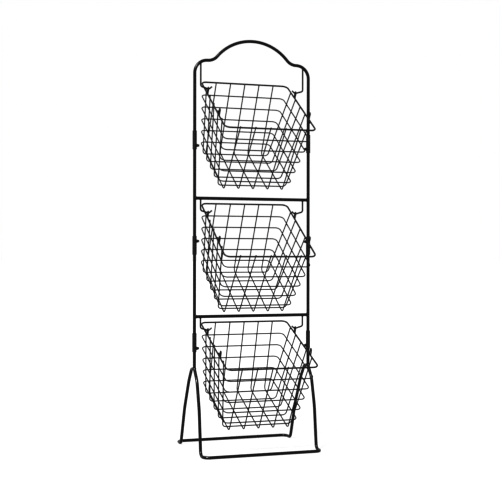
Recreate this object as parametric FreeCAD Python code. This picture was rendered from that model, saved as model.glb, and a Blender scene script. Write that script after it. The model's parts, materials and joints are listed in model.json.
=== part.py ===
import FreeCAD, Part
import math
import os

# Three-tier wire market basket: a knock-down rod stand that carries three swinging wire baskets.
# Millimetres, Z up, front towards -Y, floor at Z = 0. Pieces are drawn with the uprights in the plane Y = 0
# and set back by STAND_Y as they are saved, which puts the origin under the middle of the whole object.

Vec = FreeCAD.Vector

# Stock sizes: rod and wire diameters
ROD_D = 8.0
RIM_D = 4.0
MESH_D = 2.8
HOOK_D = 4.0
LOOP_D = 3.0

# Gaps between pieces: lapped wires, rods in sleeves, screws in threads, basket loops on hooks
WELD_GAP = 0.03
SLEEVE_GAP = 0.1
THREAD_GAP = 0.05
HANG_GAP = 0.35
BUTT_GAP = 0.5
HEAD_GAP = 0.3

# Basket: rim centreline, floor, height, mesh and hanging point; the floor lies behind the rim's middle
RIM_W = 243.0
RIM_DEPTH = 257.5
RIM_CORNER_R = 14.0
FLOOR_W = 186.6
FLOOR_DEPTH = 199.5
FLOOR_BACK = 7.5
BASKET_H = 198.7
WIRE_END_UP = 1.6
FLOOR_BEND_R = 10.0
LONG_WIRE_INSET = 12.7
CROSS_WIRE_INSET = 15.6
WIRES_EACH_WAY = 5
HOOPS = 5
FIRST_HOOP_DROP = 35.6
HOOP_PITCH = 33.75
HOOP_CORNER_R = 12.0
HANG_U = 70.7
FRONT_LOOP_U = 64.5
HANG_ABOVE_RIM = 14.2
TOP_TILT_DEG = 33.8
MIDDLE_TILT_DEG = 33.0
BOTTOM_TILT_DEG = 23.5

# Hooks: outward run of the arm, run of the upturned tip, bends, slopes and the drop from bar to seat
ARM_RUN = 20.4
TIP_RUN = 9.8
HOOK_BEND_R = 6.0
SEAT_R = 8.0
ARM_SLOPE_DEG = 16.0
TIP_SLOPE_DEG = 40.0
HOOK_DROP = {"top": 74.0, "middle": 37.5, "bottom": 35.5}

# Heights: room left under each basket, drops from a bar to the joint below it, arch and shoulders
FLOOR_ROOM = 57.2
MIDDLE_ROOM = 5.2
TOP_ROOM = 20.4
JOINT_DROP = {"top": 208.5, "middle": 122.5, "bottom": 67.0}
HOOK_INSET = 16.2
ARCH_RISE = 56.4
ARCH_FOOT_R = 34.0
SHOULDER_R = 34.0
SHOULDER_FLAT = 1.2

# Joint sleeve with its screw boss, and the locking screw
SLEEVE_WALL = 1.3
SLEEVE_L = 48.0
BOSS_WALL = 1.75
BOSS_H = 3.2
SCREW_D = 4.0
SCREW_HEAD_RIM = 0.9
SCREW_HEAD_H = 3.1
SCREW_SLOT_W = 1.0
SCREW_SLOT_DEPTH = 1.2
SCREW_FROM_END = {"top": 10.0, "middle": 13.0, "bottom": 9.0}
SCREW_SIDE = {"top": -1, "middle": 1, "bottom": -1}

# Base loops: bends as (out from the uprights, down from the joint or the rear weld), then the foot
FRONT_BENDS = [(0.0, 67.5), (25.0, 97.5), (46.0, 170.0)]
FRONT_RADII = [12.0, 50.0, 200.0]
FRONT_FOOT_OUT = 60.0
FRONT_FOOT_L = 34.0
REAR_WELD_DROP = 67.0
REAR_BENDS = [(26.0, 4.0), (52.0, 36.0), (95.0, 115.0)]
REAR_RADII = [12.0, 120.0, 150.0]
REAR_FOOT_OUT = 132.0
REAR_FOOT_L = 36.0
ANKLE_R = 14.0
TOE_R = 16.0

# Derived sizes shared by mating pieces
ROD_R = ROD_D / 2
RIM_R = RIM_D / 2
MESH_R = MESH_D / 2
HOOK_R = HOOK_D / 2
LOOP_R = LOOP_D / 2
SIDES = {"left": -1, "right": 1}
RIM_Z = -HANG_ABOVE_RIM
FLOOR_Z = RIM_Z - BASKET_H
MID_Y = HANG_U - RIM_DEPTH / 2
LAP = RIM_R + MESH_R + WELD_GAP
MESH_LAP = MESH_D + WELD_GAP
LOOP_BEND_R = HOOK_R + HANG_GAP + LOOP_R
LOOP_X = RIM_W / 2
HOOK_X = LOOP_X + ARM_RUN
TIP_X = LOOP_X - TIP_RUN
UPRIGHT_X = HOOK_X + HOOK_INSET
ARM_SLOPE = math.radians(ARM_SLOPE_DEG)
TIP_SLOPE = math.radians(TIP_SLOPE_DEG)
SLEEVE_R = ROD_R + SLEEVE_GAP + SLEEVE_WALL
BOSS_R = SCREW_D / 2 + THREAD_GAP + BOSS_WALL
BOSS_REACH = SLEEVE_R + BOSS_H
SCREW_REACH = BOSS_REACH + HEAD_GAP + SCREW_HEAD_H
BASKET_TILT_DEG = {"top": TOP_TILT_DEG, "middle": MIDDLE_TILT_DEG, "bottom": BOTTOM_TILT_DEG}

# Heights of the tiers, built up from the floor: each basket swings clear of what is below it
SWING_R = math.hypot(FLOOR_DEPTH / 2 - FLOOR_BACK - MID_Y, FLOOR_Z)
SEAT_Z = {"bottom": FLOOR_ROOM + SWING_R}
CROSSBAR_Z = {"lower": SEAT_Z["bottom"] + HOOK_DROP["bottom"]}
SEAT_Z["middle"] = CROSSBAR_Z["lower"] + ROD_R + MIDDLE_ROOM + SWING_R
CROSSBAR_Z["upper"] = SEAT_Z["middle"] + HOOK_DROP["middle"]
SEAT_Z["top"] = CROSSBAR_Z["upper"] + ROD_R + TOP_ROOM + SWING_R
SHOULDER_Z = SEAT_Z["top"] + HOOK_DROP["top"]
ARCH_TOP_Z = SHOULDER_Z + ARCH_RISE
CARRIER_Z = {"top": SHOULDER_Z, "middle": CROSSBAR_Z["upper"], "bottom": CROSSBAR_Z["lower"]}
JOINT_Z = {level: CARRIER_Z[level] - drop for level, drop in JOINT_DROP.items()}
SCREW_UP = {level: SCREW_SIDE[level] * (SLEEVE_L / 2 - SCREW_FROM_END[level]) for level in JOINT_Z}
SCREW_Z = {level: z + SCREW_UP[level] for level, z in JOINT_Z.items()}

# Base loops' side profiles as (Y, Z), from the top end to the floor bar
FRONT_TOP_Z = JOINT_Z["bottom"] - BUTT_GAP / 2
REAR_WELD_Z = JOINT_Z["bottom"] - REAR_WELD_DROP
FRONT_BAR_Y = -FRONT_FOOT_OUT - FRONT_FOOT_L
REAR_BAR_Y = REAR_FOOT_OUT + REAR_FOOT_L
FRONT_PROFILE = [(0.0, FRONT_TOP_Z)]
FRONT_PROFILE += [(-out, JOINT_Z["bottom"] - down) for out, down in FRONT_BENDS]
FRONT_PROFILE += [(-FRONT_FOOT_OUT, ROD_R), (FRONT_BAR_Y, ROD_R)]
REAR_PROFILE = [(0.0, REAR_WELD_Z)]
REAR_PROFILE += [(out, REAR_WELD_Z - down) for out, down in REAR_BENDS]
REAR_PROFILE += [(REAR_FOOT_OUT, ROD_R), (REAR_BAR_Y, ROD_R)]


def rim_front(tilt):
    # How far a tilted basket's rim reaches in front of the uprights.
    turn = math.radians(tilt)
    return (RIM_DEPTH - HANG_U) * math.cos(turn) + RIM_Z * math.sin(turn) + RIM_R


# Place in depth: the middle of the whole object lies over the origin
STAND_Y = (max(rim_front(tilt) for tilt in BASKET_TILT_DEG.values()) - REAR_BAR_Y - ROD_R) / 2

os.makedirs("parts", exist_ok=True)


def save(name, shape):
    placed = shape.copy()
    placed.translate(Vec(0, STAND_Y, 0))
    placed.exportStep("parts/%s.step" % name)
    print(name, "solids", len(placed.Solids), "volume", round(placed.Volume, 1), "valid", placed.isValid())


def bend(before, corner, after, radius):
    # Tangent arc that rounds one corner: returns its start, middle and end points.
    to_before = (before - corner).normalize()
    to_after = (after - corner).normalize()
    half = to_before.getAngle(to_after) / 2
    reach = radius / math.tan(half)
    middle_dir = (to_before + to_after).normalize()
    centre = corner + middle_dir * (radius / math.sin(half))
    return corner + to_before * reach, centre - middle_dir * radius, corner + to_after * reach


def add_line(edges, start, end):
    if (end - start).Length > 1e-6:
        edges.append(Part.makeLine(start, end))


def open_path(points, radii):
    # Straight runs joined by tangent arcs; radii belong to the inner points.
    edges = []
    here = points[0]
    for i in range(1, len(points) - 1):
        start, middle, end = bend(points[i - 1], points[i], points[i + 1], radii[i - 1])
        add_line(edges, here, start)
        edges.append(Part.Arc(start, middle, end).toShape())
        here = end
    add_line(edges, here, points[-1])
    return edges


def sweep(edges, radius):
    first = edges[0]
    start = first.valueAt(first.FirstParameter)
    direction = first.tangentAt(first.FirstParameter)
    section = Part.Wire([Part.makeCircle(radius, start, direction)])
    path = Part.Wire(edges)
    solid = path.makePipeShell([section], True, False)
    wanted = math.pi * radius ** 2 * path.Length
    if abs(solid.Volume - wanted) > 0.01 * wanted:
        raise ValueError("swept volume %.1f is not %.1f" % (solid.Volume, wanted))
    return solid


def bent_rod(points, radii, radius):
    return sweep(open_path(points, radii), radius)


def rounded_hoop(half_x, front_y, rear_y, z, corner_r, radius):
    # Closed rounded rectangle in a level plane, swept from the middle of its rear side.
    right = [Vec(half_x, rear_y, z), Vec(half_x, front_y, z)]
    left = [Vec(-half_x, front_y, z), Vec(-half_x, rear_y, z)]
    start = Vec(0, rear_y, z)
    return sweep(open_path([start] + right + left + [start], [corner_r] * 4), radius)


def cylinder(start, end, radius):
    return Part.makeCylinder(radius, (end - start).Length, start, end - start)


# Stand: arch, uprights and crossbars
def arch_rod():
    # The arch springs from the shoulders in a reverse bend; its radius follows from span and rise.
    foot_x = UPRIGHT_X - SHOULDER_R - SHOULDER_FLAT
    arch_r = (foot_x ** 2 + ARCH_RISE ** 2) / (2 * ARCH_RISE) - ARCH_FOOT_R
    centre_z = ARCH_TOP_Z - arch_r
    foot_z = SHOULDER_Z + ARCH_FOOT_R
    rise = math.atan2(foot_z - centre_z, foot_x)
    meet = Vec(arch_r * math.cos(rise), 0, centre_z + arch_r * math.sin(rise))
    halfway = (rise + math.pi + 1.5 * math.pi) / 2
    foot_mid = Vec(foot_x, 0, foot_z) + Vec(math.cos(halfway), 0, math.sin(halfway)) * ARCH_FOOT_R
    foot_end = Vec(foot_x, 0, SHOULDER_Z)
    corner = Vec(UPRIGHT_X, 0, SHOULDER_Z)
    end = Vec(UPRIGHT_X, 0, JOINT_Z["top"] + BUTT_GAP / 2)
    start, middle, stop = bend(foot_end, corner, end, SHOULDER_R)

    def mirrored(p):
        return Vec(-p.x, p.y, p.z)

    edges = [
        Part.makeLine(mirrored(end), mirrored(stop)),
        Part.Arc(mirrored(stop), mirrored(middle), mirrored(start)).toShape(),
        Part.makeLine(mirrored(start), mirrored(foot_end)),
        Part.Arc(mirrored(foot_end), mirrored(foot_mid), mirrored(meet)).toShape(),
        Part.Arc(mirrored(meet), Vec(0, 0, ARCH_TOP_Z), meet).toShape(),
        Part.Arc(meet, foot_mid, foot_end).toShape(),
        Part.makeLine(foot_end, start),
        Part.Arc(start, middle, stop).toShape(),
        Part.makeLine(stop, end),
    ]
    return sweep(edges, ROD_R)


def upright(side, top, bottom):
    x = SIDES[side] * UPRIGHT_X
    return cylinder(Vec(x, 0, bottom + BUTT_GAP / 2), Vec(x, 0, top - BUTT_GAP / 2), ROD_R)


def crossbar(z):
    # Ends are coped to the round of the uprights.
    bar = cylinder(Vec(-UPRIGHT_X, 0, z), Vec(UPRIGHT_X, 0, z), ROD_R)
    for sign in SIDES.values():
        x = sign * UPRIGHT_X
        bar = bar.cut(cylinder(Vec(x, 0, z - ROD_D), Vec(x, 0, z + ROD_D), ROD_R + WELD_GAP))
    return bar


def base_loop(profile, radii, radius):
    # One rod: down the left leg, along the floor and up the right leg.
    left = [Vec(-UPRIGHT_X, y, z) for y, z in profile]
    right = [Vec(-p.x, p.y, p.z) for p in reversed(left)]
    bends = radii + [ANKLE_R, TOE_R]
    return bent_rod(left + right, bends + list(reversed(bends)), radius)


def rear_loop():
    # Its two upper ends are coped to the rear of the front loop's legs.
    loop = base_loop(REAR_PROFILE, REAR_RADII, ROD_R)
    front = base_loop(FRONT_PROFILE, FRONT_RADII, ROD_R + WELD_GAP)
    return max(loop.cut(front).Solids, key=lambda s: s.Volume)


top_arch = arch_rod()
save("top_arch", top_arch)
for side in SIDES:
    save("upper_upright_" + side, upright(side, JOINT_Z["top"], JOINT_Z["middle"]))
    save("lower_upright_" + side, upright(side, JOINT_Z["middle"], JOINT_Z["bottom"]))
for level, z in CROSSBAR_Z.items():
    save(level + "_crossbar", crossbar(z))
save("front_leg_loop", base_loop(FRONT_PROFILE, FRONT_RADII, ROD_R))
save("rear_leg_loop", rear_loop())


# Joint sleeves and locking screws
def sleeve(side, level):
    sign = SIDES[side]
    x = sign * UPRIGHT_X
    low = JOINT_Z[level] - SLEEVE_L / 2
    axis = Vec(x, 0, SCREW_Z[level])
    tube = cylinder(Vec(x, 0, low), Vec(x, 0, low + SLEEVE_L), SLEEVE_R)
    boss = cylinder(axis, axis - Vec(sign * BOSS_REACH, 0, 0), BOSS_R)
    bore = cylinder(Vec(x, 0, low), Vec(x, 0, low + SLEEVE_L), ROD_R + SLEEVE_GAP)
    thread = cylinder(axis, axis - Vec(sign * (BOSS_REACH + 1), 0, 0), SCREW_D / 2 + THREAD_GAP)
    return tube.fuse(boss).cut(bore).cut(thread).removeSplitter()


def lock_screw(side, level):
    inward = Vec(-SIDES[side], 0, 0)
    axis = Vec(SIDES[side] * UPRIGHT_X, 0, SCREW_Z[level])
    head_base = axis + inward * (BOSS_REACH + HEAD_GAP)
    end = axis + inward * SCREW_REACH
    shank = cylinder(axis + inward * (ROD_R + HEAD_GAP), head_base, SCREW_D / 2)
    head_r = SCREW_D / 2 + SCREW_HEAD_RIM
    head = cylinder(head_base, end, head_r)
    slot = Part.makeBox(SCREW_SLOT_DEPTH, 2 * SCREW_D, SCREW_SLOT_W)
    slot_x = end.x if SIDES[side] > 0 else end.x - SCREW_SLOT_DEPTH
    slot.translate(Vec(slot_x, -SCREW_D, axis.z - SCREW_SLOT_W / 2))
    return shank.fuse(head).cut(slot).removeSplitter()


for level in JOINT_Z:
    for side in SIDES:
        save("sleeve_%s_%s" % (level, side), sleeve(side, level))
        save("lock_screw_%s_%s" % (level, side), lock_screw(side, level))


# Hooks: the top end is coped to the bar that carries it
def hook(side, level):
    seat_z = SEAT_Z[level]
    centre = Vec(LOOP_X, 0, seat_z + SEAT_R)
    outer = centre + Vec(SEAT_R * math.sin(ARM_SLOPE), 0, -SEAT_R * math.cos(ARM_SLOPE))
    inner = centre + Vec(-SEAT_R * math.sin(TIP_SLOPE), 0, -SEAT_R * math.cos(TIP_SLOPE))
    tip_run = inner.x - TIP_X
    tip = Vec(TIP_X, 0, inner.z + tip_run * math.tan(TIP_SLOPE))
    corner = Vec(HOOK_X, 0, outer.z + (HOOK_X - outer.x) * math.tan(ARM_SLOPE))
    carrier_z = CARRIER_Z[level]
    top = Vec(HOOK_X, 0, carrier_z)
    start, middle, end = bend(outer, corner, top, HOOK_BEND_R)
    edges = [
        Part.makeLine(tip, inner),
        Part.Arc(inner, centre - Vec(0, 0, SEAT_R), outer).toShape(),
        Part.makeLine(outer, start),
        Part.Arc(start, middle, end).toShape(),
        Part.makeLine(end, top),
    ]
    shape = sweep(edges, HOOK_R)
    if level == "top":
        shape = shape.cut(top_arch)
    else:
        shape = shape.cut(cylinder(Vec(0, 0, carrier_z), Vec(UPRIGHT_X, 0, carrier_z), ROD_R + WELD_GAP))
    lowest = min(shape.Solids, key=lambda s: s.BoundBox.ZMin)
    if SIDES[side] < 0:
        lowest = lowest.mirror(Vec(0, 0, 0), Vec(1, 0, 0))
    return lowest


for level in SEAT_Z:
    for side in SIDES:
        save("hook_%s_%s" % (level, side), hook(side, level))


# Basket in its own level frame: origin on the hooks' seat line, front towards -Y
def spread(width, inset):
    # Evenly spaced wire positions across the floor.
    outer = width / 2 - inset
    return [outer * (2 * i / (WIRES_EACH_WAY - 1) - 1) for i in range(WIRES_EACH_WAY)]


# Straight walls in section, as half-sizes at the rim and at the floor
SIDE_WALL = (RIM_W / 2, FLOOR_W / 2)
REAR_WALL = (RIM_DEPTH / 2, FLOOR_DEPTH / 2 + FLOOR_BACK)
FRONT_WALL = (RIM_DEPTH / 2, FLOOR_DEPTH / 2 - FLOOR_BACK)
WIRE_TOP_Z = RIM_Z + WIRE_END_UP


def wall_lean(wall):
    rim_half, floor_half = wall
    return math.atan2(rim_half - LAP - floor_half, BASKET_H)


def wire_at(wall, z):
    # Wire centreline half-size at a level: the leaning wire lies against the inside of the rim.
    rim_half, floor_half = wall
    top_half = rim_half - LAP / math.cos(wall_lean(wall))
    return floor_half + (top_half - floor_half) * (z - FLOOR_Z) / BASKET_H


def hoop_at(wall, z):
    # Hoop centreline half-size at a level: it lies against the outside of the leaning wires.
    return wire_at(wall, z) + MESH_LAP / math.cos(wall_lean(wall))


def long_wires():
    # Down the rear wall, along the floor and up the front wall.
    wires = []
    for x in spread(FLOOR_W, LONG_WIRE_INSET):
        points = [
            Vec(x, MID_Y + wire_at(REAR_WALL, WIRE_TOP_Z), WIRE_TOP_Z),
            Vec(x, MID_Y + wire_at(REAR_WALL, FLOOR_Z), FLOOR_Z),
            Vec(x, MID_Y - wire_at(FRONT_WALL, FLOOR_Z), FLOOR_Z),
            Vec(x, MID_Y - wire_at(FRONT_WALL, WIRE_TOP_Z), WIRE_TOP_Z),
        ]
        wires.append(bent_rod(points, [FLOOR_BEND_R] * 2, MESH_R))
    return Part.makeCompound(wires)


def cross_wires():
    # Down the left wall, over the long wires and up the right wall, leaning back with the floor.
    low_z = FLOOR_Z + MESH_LAP
    wires = []
    for y in spread(FLOOR_DEPTH, CROSS_WIRE_INSET):
        points = []
        for sign, z in ((-1, WIRE_TOP_Z), (-1, low_z), (1, low_z), (1, WIRE_TOP_Z)):
            set_back = FLOOR_BACK * (RIM_Z - z) / BASKET_H
            points.append(Vec(sign * wire_at(SIDE_WALL, z), MID_Y + y + set_back, z))
        wires.append(bent_rod(points, [FLOOR_BEND_R] * 2, MESH_R))
    return Part.makeCompound(wires)


def hoop(number):
    # Hoops lie outside the walls; number 1 is next to the rim.
    z = RIM_Z - FIRST_HOOP_DROP - (number - 1) * HOOP_PITCH
    front_y = MID_Y - hoop_at(FRONT_WALL, z)
    rear_y = MID_Y + hoop_at(REAR_WALL, z)
    return rounded_hoop(hoop_at(SIDE_WALL, z), front_y, rear_y, z, HOOP_CORNER_R, MESH_R)


def hang_loop(x, y):
    # Narrow upturned loop, its feet coped to the top of the rim; its crown is centred on the seat line.
    front = y - LOOP_BEND_R
    rear = y + LOOP_BEND_R
    edges = [
        Part.makeLine(Vec(x, front, RIM_Z), Vec(x, front, 0)),
        Part.Arc(Vec(x, front, 0), Vec(x, y, LOOP_BEND_R), Vec(x, rear, 0)).toShape(),
        Part.makeLine(Vec(x, rear, 0), Vec(x, rear, RIM_Z)),
    ]
    rim_bar = cylinder(Vec(x, front - LOOP_D, RIM_Z), Vec(x, rear + LOOP_D, RIM_Z), RIM_R + WELD_GAP)
    return sweep(edges, LOOP_R).cut(rim_bar)


def hang_loops():
    # One pair rides on the hooks; the front pair lets the basket hang the other way round.
    front_y = MID_Y - RIM_DEPTH / 2 + FRONT_LOOP_U
    spots = [(sign * LOOP_X, y) for sign in SIDES.values() for y in (0.0, front_y)]
    return Part.makeCompound([hang_loop(x, y) for x, y in spots])


BASKET_PIECES = {
    "rim": rounded_hoop(RIM_W / 2, MID_Y - RIM_DEPTH / 2, MID_Y + RIM_DEPTH / 2, RIM_Z, RIM_CORNER_R, RIM_R),
    "long_wires": long_wires(),
    "cross_wires": cross_wires(),
    "hang_loops": hang_loops(),
}
for number in range(1, HOOPS + 1):
    BASKET_PIECES["hoop_%d" % number] = hoop(number)

for level, seat_z in SEAT_Z.items():
    hung = FreeCAD.Placement(Vec(0, 0, seat_z), FreeCAD.Rotation(Vec(1, 0, 0), BASKET_TILT_DEG[level]))
    for name, piece in BASKET_PIECES.items():
        tilted = piece.copy()
        tilted.Placement = hung.multiply(piece.Placement)
        save("basket_%s_%s" % (level, name), tilted)
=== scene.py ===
import bmesh
import bpy
import json
import math
from mathutils import Matrix, Vector


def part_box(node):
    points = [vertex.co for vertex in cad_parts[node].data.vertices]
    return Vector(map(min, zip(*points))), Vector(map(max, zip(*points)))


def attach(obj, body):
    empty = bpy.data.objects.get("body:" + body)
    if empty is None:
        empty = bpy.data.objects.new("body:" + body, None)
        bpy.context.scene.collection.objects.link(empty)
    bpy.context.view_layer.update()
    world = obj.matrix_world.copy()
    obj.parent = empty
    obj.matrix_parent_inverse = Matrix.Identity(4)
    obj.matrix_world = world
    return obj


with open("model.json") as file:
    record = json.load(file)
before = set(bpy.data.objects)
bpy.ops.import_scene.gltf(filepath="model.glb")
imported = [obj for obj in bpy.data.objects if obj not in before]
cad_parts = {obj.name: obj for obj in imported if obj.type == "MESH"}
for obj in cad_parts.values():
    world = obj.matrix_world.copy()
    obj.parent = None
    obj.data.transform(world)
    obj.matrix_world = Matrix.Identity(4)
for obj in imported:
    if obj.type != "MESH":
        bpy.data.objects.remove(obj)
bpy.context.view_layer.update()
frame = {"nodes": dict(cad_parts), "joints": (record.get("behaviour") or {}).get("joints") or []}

# Sizes in metres: rods and wires
ROD_R = 0.004
RIM_R = 0.002
WIRE_R = 0.0014
HOOK_R = 0.002
LOOP_R = 0.0015
LAP_GAP = 0.00003

# Basket in its own level frame: origin on the seat line, front towards -Y
RIM_W = 0.243
RIM_DEPTH = 0.2575
FLOOR_W = 0.1866
FLOOR_DEPTH = 0.1995
FLOOR_BACK = 0.0075
BASKET_H = 0.1987
LONG_WIRE_INSET = 0.0127
CROSS_WIRE_INSET = 0.0156
WIRES_EACH_WAY = 5
HOOPS = 5
FIRST_HOOP_DROP = 0.0356
HOOP_PITCH = 0.03375
HANG_U = 0.0707
FRONT_LOOP_U = 0.0645
RIM_Z = -0.0142
LOOP_BEND_R = 0.00385

# Stand: places of the rods that the welds join, and the front leg's run forward per drop below the fork
UPRIGHT_X = 0.1581
HOOK_X = 0.1419
SHOULDER_R = 0.034
ARCH_RISE = 0.0564
SLEEVE_R = 0.0054
BOSS_R = 0.0038
REAR_WELD_DROP = 0.067
REAR_RUN = Vector((0, 0.026, -0.004)).normalized()
FORK_SLOPE = 25 / 30

# Spot welds and weld beads
SPOT_WIDE = 0.0019
SPOT_THICK = 0.0014
SPOT_LOBE = 0.22
SPOT_SUBDIVISIONS = 2
BEAD_R = 0.0011
SMALL_BEAD_R = 0.0008
FOOT_BEAD_R = 0.0005
BEAD_RIPPLE = 0.14
BEAD_RIPPLE_PITCH = 0.0016
BEAD_STEP = 0.0004
BEAD_MIN_STEPS = 24
BEAD_SIDES = 10

# Powder coat: each noise as scale per metre, detail and roughness, with what it does to the coat
BLACK = (0.0040, 0.0040, 0.0042)
SPECULAR = 0.35
NOISE_SPAN = (0.3, 0.7)
CLOUD_NOISE = (45.0, 4.0, 0.5)
CLOUD_FACTORS = (0.75, 1.35)
SPECK_NOISE = (2600.0, 2.0, 0.5)
SPECK_SPAN = (0.60, 0.78)
SPECK_GREY = 0.012
SCUFF_NOISE = (160.0, 6.0, 0.65)
SCUFF_SPAN = (0.62, 0.74)
SCUFF_COLOUR = (0.10, 0.10, 0.105)
GLOSS_NOISE = (120.0, 3.0, 0.5)
GLOSS_SHIFTS = (-0.07, 0.09)
PEEL_DETAIL = 2.0
PEEL_ROUGHNESS = 0.5
PEEL_STRENGTH = 0.35

# Camera: lens in mm on a 36 mm sensor, place in metres, angles in degrees
LENS = 77.744
SENSOR = 36.0
CAMERA_AT = Vector((-0.92016, -2.69627, 0.52071))
CAMERA_YAW = -18.735
CAMERA_PITCH = 0.114
CAMERA_ROLL = 0.0738

# Studio: key light's run, spread in degrees and strength; the floor; strength of the surround; view's gamma
WHITE = (1.0, 1.0, 1.0, 1.0)
KEY_RUN = Vector((1.6, 1.6, -2.1))
KEY_SPREAD = 12.0
KEY_STRENGTH = 7.0
STUDIO_R = 60.0
STUDIO_SEGMENTS = 96
STUDIO_FLOOR_Z = -0.0002
STUDIO_TONES = (0.105, 0.115)
STUDIO_GRAIN_SCALE = 3.0
STUDIO_ROUGHNESS = 0.9
STUDIO_GLOW = 0.82
SURROUND = 1.0
VIEW_GAMMA = 0.55

FLOOR_Z = RIM_Z - BASKET_H
MID_Y = HANG_U - RIM_DEPTH / 2
RIM_LAP = RIM_R + WIRE_R + LAP_GAP
WIRE_LAP = 2 * WIRE_R + LAP_GAP
SIDES = {"left": -1, "right": 1}
LEVELS = ("top", "middle", "bottom")
JOINTS = {joint["name"]: joint for joint in frame["joints"]}
STAND_Y = JOINTS["basket_top_swing"]["pos_m"][1]
ACROSS = Vector((1, 0, 0))
BACK = Vector((0, 1, 0))
UP = Vector((0, 0, 1))


def node_z(name):
    # Lowest and highest level of a CAD node.
    low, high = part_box(name)
    return low.z, high.z


def middle_z(name):
    # Level halfway up a CAD node.
    low, high = node_z(name)
    return (low + high) / 2


# Materials
def coat(name, base, rough, peel_scale, peel_depth, worn):
    # Black powder coat: fine orange peel, cloudy tone, uneven gloss and a little grey dust and wear.
    mat = bpy.data.materials.new(name)
    mat.use_nodes = True
    nodes = mat.node_tree.nodes
    link = mat.node_tree.links.new
    shader = nodes["Principled BSDF"]
    shader.inputs["Specular IOR Level"].default_value = SPECULAR
    shader.inputs["Metallic"].default_value = 0.0
    where = nodes.new("ShaderNodeTexCoord")

    def noise(scale, detail, roughness):
        node = nodes.new("ShaderNodeTexNoise")
        node.inputs["Scale"].default_value = scale
        node.inputs["Detail"].default_value = detail
        node.inputs["Roughness"].default_value = roughness
        link(where.outputs["Object"], node.inputs["Vector"])
        return node.outputs["Fac"]

    def ramp(source, span, colours):
        node = nodes.new("ShaderNodeValToRGB")
        for stop, position, colour in zip(node.color_ramp.elements, span, colours):
            stop.position = position
            stop.color = (*colour, 1.0)
        link(source, node.inputs["Fac"])
        return node.outputs["Color"]

    def grey(value):
        return (value, value, value)

    clouds = [tuple(factor * c for c in base) for factor in CLOUD_FACTORS]
    tone = ramp(noise(*CLOUD_NOISE), NOISE_SPAN, clouds)
    speck = ramp(noise(*SPECK_NOISE), SPECK_SPAN, (grey(0.0), grey(SPECK_GREY)))
    lift = nodes.new("ShaderNodeMixRGB")
    lift.blend_type = "ADD"
    lift.inputs["Fac"].default_value = 1.0
    link(tone, lift.inputs["Color1"])
    link(speck, lift.inputs["Color2"])
    scuff = ramp(noise(*SCUFF_NOISE), SCUFF_SPAN, (grey(0.0), grey(worn)))
    rub = nodes.new("ShaderNodeMixRGB")
    rub.inputs["Color2"].default_value = (*SCUFF_COLOUR, 1.0)
    link(scuff, rub.inputs["Fac"])
    link(lift.outputs["Color"], rub.inputs["Color1"])
    link(rub.outputs["Color"], shader.inputs["Base Color"])
    gloss = nodes.new("ShaderNodeMapRange")
    gloss.inputs["From Min"].default_value = NOISE_SPAN[0]
    gloss.inputs["From Max"].default_value = NOISE_SPAN[1]
    gloss.inputs["To Min"].default_value = rough + GLOSS_SHIFTS[0]
    gloss.inputs["To Max"].default_value = rough + GLOSS_SHIFTS[1]
    link(noise(*GLOSS_NOISE), gloss.inputs["Value"])
    link(gloss.outputs["Result"], shader.inputs["Roughness"])
    peel = nodes.new("ShaderNodeBump")
    peel.inputs["Strength"].default_value = PEEL_STRENGTH
    peel.inputs["Distance"].default_value = peel_depth
    link(noise(peel_scale, PEEL_DETAIL, PEEL_ROUGHNESS), peel.inputs["Height"])
    link(peel.outputs["Normal"], shader.inputs["Normal"])
    return mat


# Each coat: name, colour, roughness, orange peel's scale per metre and depth in metres, strength of the wear
COATS = {
    "rod_coat": coat("rod_powder_coat", BLACK, 0.27, 900.0, 0.00012, 0.10),
    "sleeve_coat": coat("sleeve_powder_coat", (0.0085, 0.0085, 0.0090), 0.42, 1000.0, 0.00010, 0.14),
    "hook_coat": coat("hook_powder_coat", BLACK, 0.40, 1100.0, 0.00010, 0.22),
    "screw_coat": coat("screw_black_finish", (0.011, 0.011, 0.012), 0.34, 1600.0, 0.00005, 0.30),
    "rim_coat": coat("rim_powder_coat", BLACK, 0.40, 1200.0, 0.00009, 0.12),
    "wire_coat": coat("wire_powder_coat", BLACK, 0.42, 1400.0, 0.00007, 0.10),
}
WELD = coat("weld_powder_coat", (0.0090, 0.0090, 0.0095), 0.46, 700.0, 0.00020, 0.12)


def slot_of(node):
    # The record's material slot of a CAD node, by the kind of piece it is.
    for word, slot in (("sleeve_", "sleeve_coat"), ("hook_", "hook_coat"), ("lock_screw_", "screw_coat")):
        if node.startswith(word):
            return slot
    if node.endswith("_rim") or node.endswith("_hang_loops"):
        return "rim_coat"
    return "wire_coat" if node.startswith("basket_") else "rod_coat"


for name, node in frame["nodes"].items():
    node.data.materials.clear()
    node.data.materials.append(COATS[slot_of(name)])
    node.data.shade_smooth()


# Piece makers
def make_piece(name, mesh_build, body):
    # One piece of welds that rides with a body.
    bmesh.ops.recalc_face_normals(mesh_build, faces=mesh_build.faces)
    mesh = bpy.data.meshes.new(name)
    mesh_build.to_mesh(mesh)
    mesh_build.free()
    mesh.shade_smooth()
    mesh.materials.append(WELD)
    piece = bpy.data.objects.new(name, mesh)
    bpy.context.scene.collection.objects.link(piece)
    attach(piece, body)


def add_spot(build, place, first, second):
    # Spot weld pressed out between two crossing wires: four low lobes that fill the corners of the crossing.
    normal = first.cross(second).normalized()
    second = normal.cross(first).normalized()
    turn = Matrix((first, second, normal)).transposed().to_4x4()
    made = bmesh.ops.create_icosphere(build, subdivisions=SPOT_SUBDIVISIONS, radius=1.0)["verts"]
    for v in made:
        lobe = math.sin(2 * math.atan2(v.co.y, v.co.x)) ** 2
        reach = SPOT_WIDE * (1 + SPOT_LOBE * lobe)
        v.co = place + turn @ Vector((v.co.x * reach, v.co.y * reach, v.co.z * SPOT_THICK))


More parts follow.
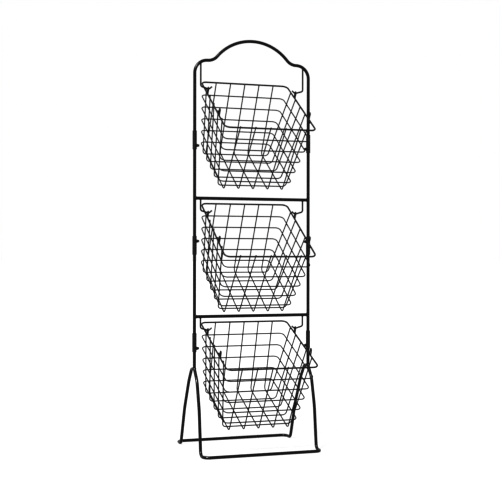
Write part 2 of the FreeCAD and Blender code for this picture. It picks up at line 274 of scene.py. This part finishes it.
def add_bead(build, path, axis, radius):
    # Rippled weld bead along a closed path round an axis.
    rings = []
    length = 0.0
    for i, point in enumerate(path):
        before = path[i - 1]
        after = path[(i + 1) % len(path)]
        along = (after - before).normalized()
        side = along.cross(axis).normalized()
        up = side.cross(along)
        length += (point - before).length if i else 0.0
        here = radius * (1 + BEAD_RIPPLE * math.sin(2 * math.pi * length / BEAD_RIPPLE_PITCH))
        ring = []
        for k in range(BEAD_SIDES):
            angle = 2 * math.pi * k / BEAD_SIDES
            ring.append(build.verts.new(point + here * (side * math.cos(angle) + up * math.sin(angle))))
        rings.append(ring)
    for one, two in zip(rings, rings[1:] + rings[:1]):
        for k in range(BEAD_SIDES):
            m = (k + 1) % BEAD_SIDES
            build.faces.new((one[k], one[m], two[m], two[k]))


def around(radius):
    # Evenly stepped angles round a rod of this radius.
    steps = max(BEAD_MIN_STEPS, round(2 * math.pi * radius / BEAD_STEP))
    return [2 * math.pi * i / steps for i in range(steps)]


# Basket welds
def spread(width, inset):
    # Even places of the wires across a floor of this width.
    outer = width / 2 - inset
    return [outer * (2 * i / (WIRES_EACH_WAY - 1) - 1) for i in range(WIRES_EACH_WAY)]


# Walls as half-sizes at the rim and at the floor
SIDE_WALL = (RIM_W / 2, FLOOR_W / 2)
REAR_WALL = (RIM_DEPTH / 2, FLOOR_DEPTH / 2 + FLOOR_BACK)
FRONT_WALL = (RIM_DEPTH / 2, FLOOR_DEPTH / 2 - FLOOR_BACK)


def contact_at(wall, z):
    # Where the wall's wires touch the rim or a hoop at this level.
    rim_half, floor_half = wall
    if z == RIM_Z:
        return rim_half - RIM_R
    top_half = rim_half - RIM_LAP
    return floor_half + (top_half - floor_half) * (z - FLOOR_Z) / BASKET_H + WIRE_LAP / 2


def set_back(z):
    # How far back the cross wires stand at this level, as they lean back with the floor.
    return FLOOR_BACK * (RIM_Z - z) / BASKET_H


def basket_spots():
    # Every crossing of wires as (place, run of one wire, run of the other).
    long_xs = spread(FLOOR_W, LONG_WIRE_INSET)
    cross_ys = [MID_Y + y for y in spread(FLOOR_DEPTH, CROSS_WIRE_INSET)]
    levels = [RIM_Z] + [RIM_Z - FIRST_HOOP_DROP - number * HOOP_PITCH for number in range(HOOPS)]
    spots = []
    for z in levels:
        for x in long_xs:
            spots.append((Vector((x, MID_Y + contact_at(REAR_WALL, z), z)), ACROSS, UP))
            spots.append((Vector((x, MID_Y - contact_at(FRONT_WALL, z), z)), ACROSS, UP))
        for sign in SIDES.values():
            for y in cross_ys:
                place = Vector((sign * contact_at(SIDE_WALL, z), y + set_back(z), z))
                spots.append((place, BACK, UP))
    for x in long_xs:
        for y in cross_ys:
            spots.append((Vector((x, y + FLOOR_BACK, FLOOR_Z + WIRE_LAP / 2)), ACROSS, BACK))
    return spots


def add_loop_feet(build):
    # A small ring round each foot of the hang loops, where it stands on the rim.
    for sign in SIDES.values():
        for y in (0.0, MID_Y - RIM_DEPTH / 2 + FRONT_LOOP_U):
            for leg in (-LOOP_BEND_R, LOOP_BEND_R):
                path = []
                for angle in around(LOOP_R):
                    off = LOOP_R * math.cos(angle)
                    z = RIM_Z + math.sqrt(RIM_R ** 2 - off ** 2)
                    path.append(Vector((sign * RIM_W / 2 + off, y + leg + LOOP_R * math.sin(angle), z)))
                add_bead(build, path, UP, FOOT_BEAD_R)


for level in LEVELS:
    joint = JOINTS["basket_%s_swing" % level]
    hung = Matrix.Translation(joint["pos_m"]) @ Matrix.Rotation(-math.radians(joint["range_deg"][0]), 4, "X")
    build = bmesh.new()
    for place, first, second in basket_spots():
        add_spot(build, place, first, second)
    add_loop_feet(build)
    bmesh.ops.transform(build, matrix=hung, verts=build.verts)
    make_piece("basket_%s_welds" % level, build, "basket_" + level)


# Stand welds
def inward_ring(sign, z, ring_r, round_r):
    # Ring of one radius at this level, laid on the inner side of an upright or sleeve of the other radius.
    path = []
    for angle in around(ring_r):
        y = ring_r * math.sin(angle)
        x = sign * (UPRIGHT_X - math.sqrt(round_r ** 2 - y ** 2))
        path.append(Vector((x, STAND_Y + y, z + ring_r * math.cos(angle))))
    return path


def bar_end_welds():
    # Both ends of each crossbar, where its round end meets the round of the upright.
    build = bmesh.new()
    for bar in ("upper_crossbar", "lower_crossbar"):
        for sign in SIDES.values():
            add_bead(build, inward_ring(sign, middle_z(bar), ROD_R, ROD_R), ACROSS, BEAD_R)
    return build


def hook_top_welds():
    # A ring where each hook's upper end meets the bar or shoulder above it.
    build = bmesh.new()
    shoulder_z = node_z("top_arch")[1] - ROD_R - ARCH_RISE - SHOULDER_R
    bar_z = {"middle": middle_z("upper_crossbar"), "bottom": middle_z("lower_crossbar")}
    for level in LEVELS:
        for sign in SIDES.values():
            path = []
            for angle in around(HOOK_R):
                x = HOOK_X + HOOK_R * math.cos(angle)
                y = HOOK_R * math.sin(angle)
                sag = math.sqrt(ROD_R ** 2 - y ** 2)
                if level == "top":
                    z = shoulder_z + math.sqrt((SHOULDER_R - sag) ** 2 - (x - UPRIGHT_X + SHOULDER_R) ** 2)
                else:
                    z = bar_z[level] - sag
                path.append(Vector((sign * x, STAND_Y + y, z)))
            add_bead(build, path, UP, SMALL_BEAD_R)
    return build


def rear_leg_welds():
    # A ring where each rear leg's coped end meets the front leg, which bends forward below the ring's middle.
    build = bmesh.new()
    weld_z = middle_z("sleeve_bottom_left") - REAR_WELD_DROP
    over = ACROSS.cross(REAR_RUN)
    bent_reach = math.hypot(1.0, FORK_SLOPE) - FORK_SLOPE
    for sign in SIDES.values():
        start = Vector((sign * UPRIGHT_X, STAND_Y, weld_z))
        path = []
        for angle in around(ROD_R):
            lift = ROD_R * math.sin(angle)
            reach = lift if lift > 0 else -lift * bent_reach
            run = (reach - lift * over.y) / REAR_RUN.y
            path.append(start + REAR_RUN * run + over * lift + ACROSS * ROD_R * math.cos(angle))
        add_bead(build, path, REAR_RUN, BEAD_R)
    return build


def boss_welds():
    # The root of each screw boss on its sleeve.
    build = bmesh.new()
    for level in LEVELS:
        for side, sign in SIDES.items():
            z = middle_z("lock_screw_%s_%s" % (level, side))
            add_bead(build, inward_ring(sign, z, BOSS_R, SLEEVE_R), ACROSS, SMALL_BEAD_R)
    return build


make_piece("crossbar_end_welds", bar_end_welds(), "stand")
make_piece("hook_top_welds", hook_top_welds(), "stand")
make_piece("rear_leg_welds", rear_leg_welds(), "stand")
make_piece("sleeve_boss_welds", boss_welds(), "stand")


# Studio: pale floor that glows a little, white surround, broad soft light
def pale_floor():
    mat = bpy.data.materials.new("pale_floor")
    mat.use_nodes = True
    nodes = mat.node_tree.nodes
    link = mat.node_tree.links.new
    shader = nodes["Principled BSDF"]
    shader.inputs["Roughness"].default_value = STUDIO_ROUGHNESS
    shader.inputs["Specular IOR Level"].default_value = 0.0
    shader.inputs["Emission Color"].default_value = WHITE
    shader.inputs["Emission Strength"].default_value = STUDIO_GLOW
    grain = nodes.new("ShaderNodeTexNoise")
    grain.inputs["Scale"].default_value = STUDIO_GRAIN_SCALE
    tone = nodes.new("ShaderNodeValToRGB")
    for stop, value in zip(tone.color_ramp.elements, STUDIO_TONES):
        stop.color = (value, value, value, 1.0)
    link(grain.outputs["Fac"], tone.inputs["Fac"])
    link(tone.outputs["Color"], shader.inputs["Base Color"])
    return mat


build = bmesh.new()
bmesh.ops.create_circle(build, cap_ends=True, segments=STUDIO_SEGMENTS, radius=STUDIO_R)
floor_mesh = bpy.data.meshes.new("floor")
build.to_mesh(floor_mesh)
build.free()
floor_mesh.materials.append(pale_floor())
floor = bpy.data.objects.new("floor", floor_mesh)
floor.location.z = STUDIO_FLOOR_Z
bpy.context.scene.collection.objects.link(floor)

world = bpy.data.worlds.new("studio")
world.use_nodes = True
bpy.context.scene.world = world
surround = world.node_tree.nodes["Background"]
surround.inputs["Color"].default_value = WHITE
surround.inputs["Strength"].default_value = SURROUND

key_data = bpy.data.lights.new("soft_key", "SUN")
key_data.energy = KEY_STRENGTH
key_data.angle = math.radians(KEY_SPREAD)
key = bpy.data.objects.new("soft_key", key_data)
key.rotation_euler = KEY_RUN.to_track_quat("-Z", "Y").to_euler()
bpy.context.scene.collection.objects.link(key)

# Camera at the photograph's place
yaw, pitch, roll = (math.radians(angle) for angle in (CAMERA_YAW, CAMERA_PITCH, CAMERA_ROLL))
level_right = Vector((math.cos(yaw), math.sin(yaw), 0))
level_ahead = Vector((-math.sin(yaw), math.cos(yaw), 0))
ahead = level_ahead * math.cos(pitch) + UP * math.sin(pitch)
lifted = UP * math.cos(pitch) - level_ahead * math.sin(pitch)
right = level_right * math.cos(roll) + lifted * math.sin(roll)
above = lifted * math.cos(roll) - level_right * math.sin(roll)
camera_data = bpy.data.cameras.new("photo_camera")
camera_data.lens = LENS
camera_data.sensor_width = SENSOR
camera = bpy.data.objects.new("photo_camera", camera_data)
camera.matrix_world = Matrix.Translation(CAMERA_AT) @ Matrix((right, above, -ahead)).transposed().to_4x4()
bpy.context.scene.collection.objects.link(camera)
bpy.context.scene.camera = camera
bpy.context.scene.view_settings.view_transform = "Standard"
bpy.context.scene.view_settings.gamma = VIEW_GAMMA
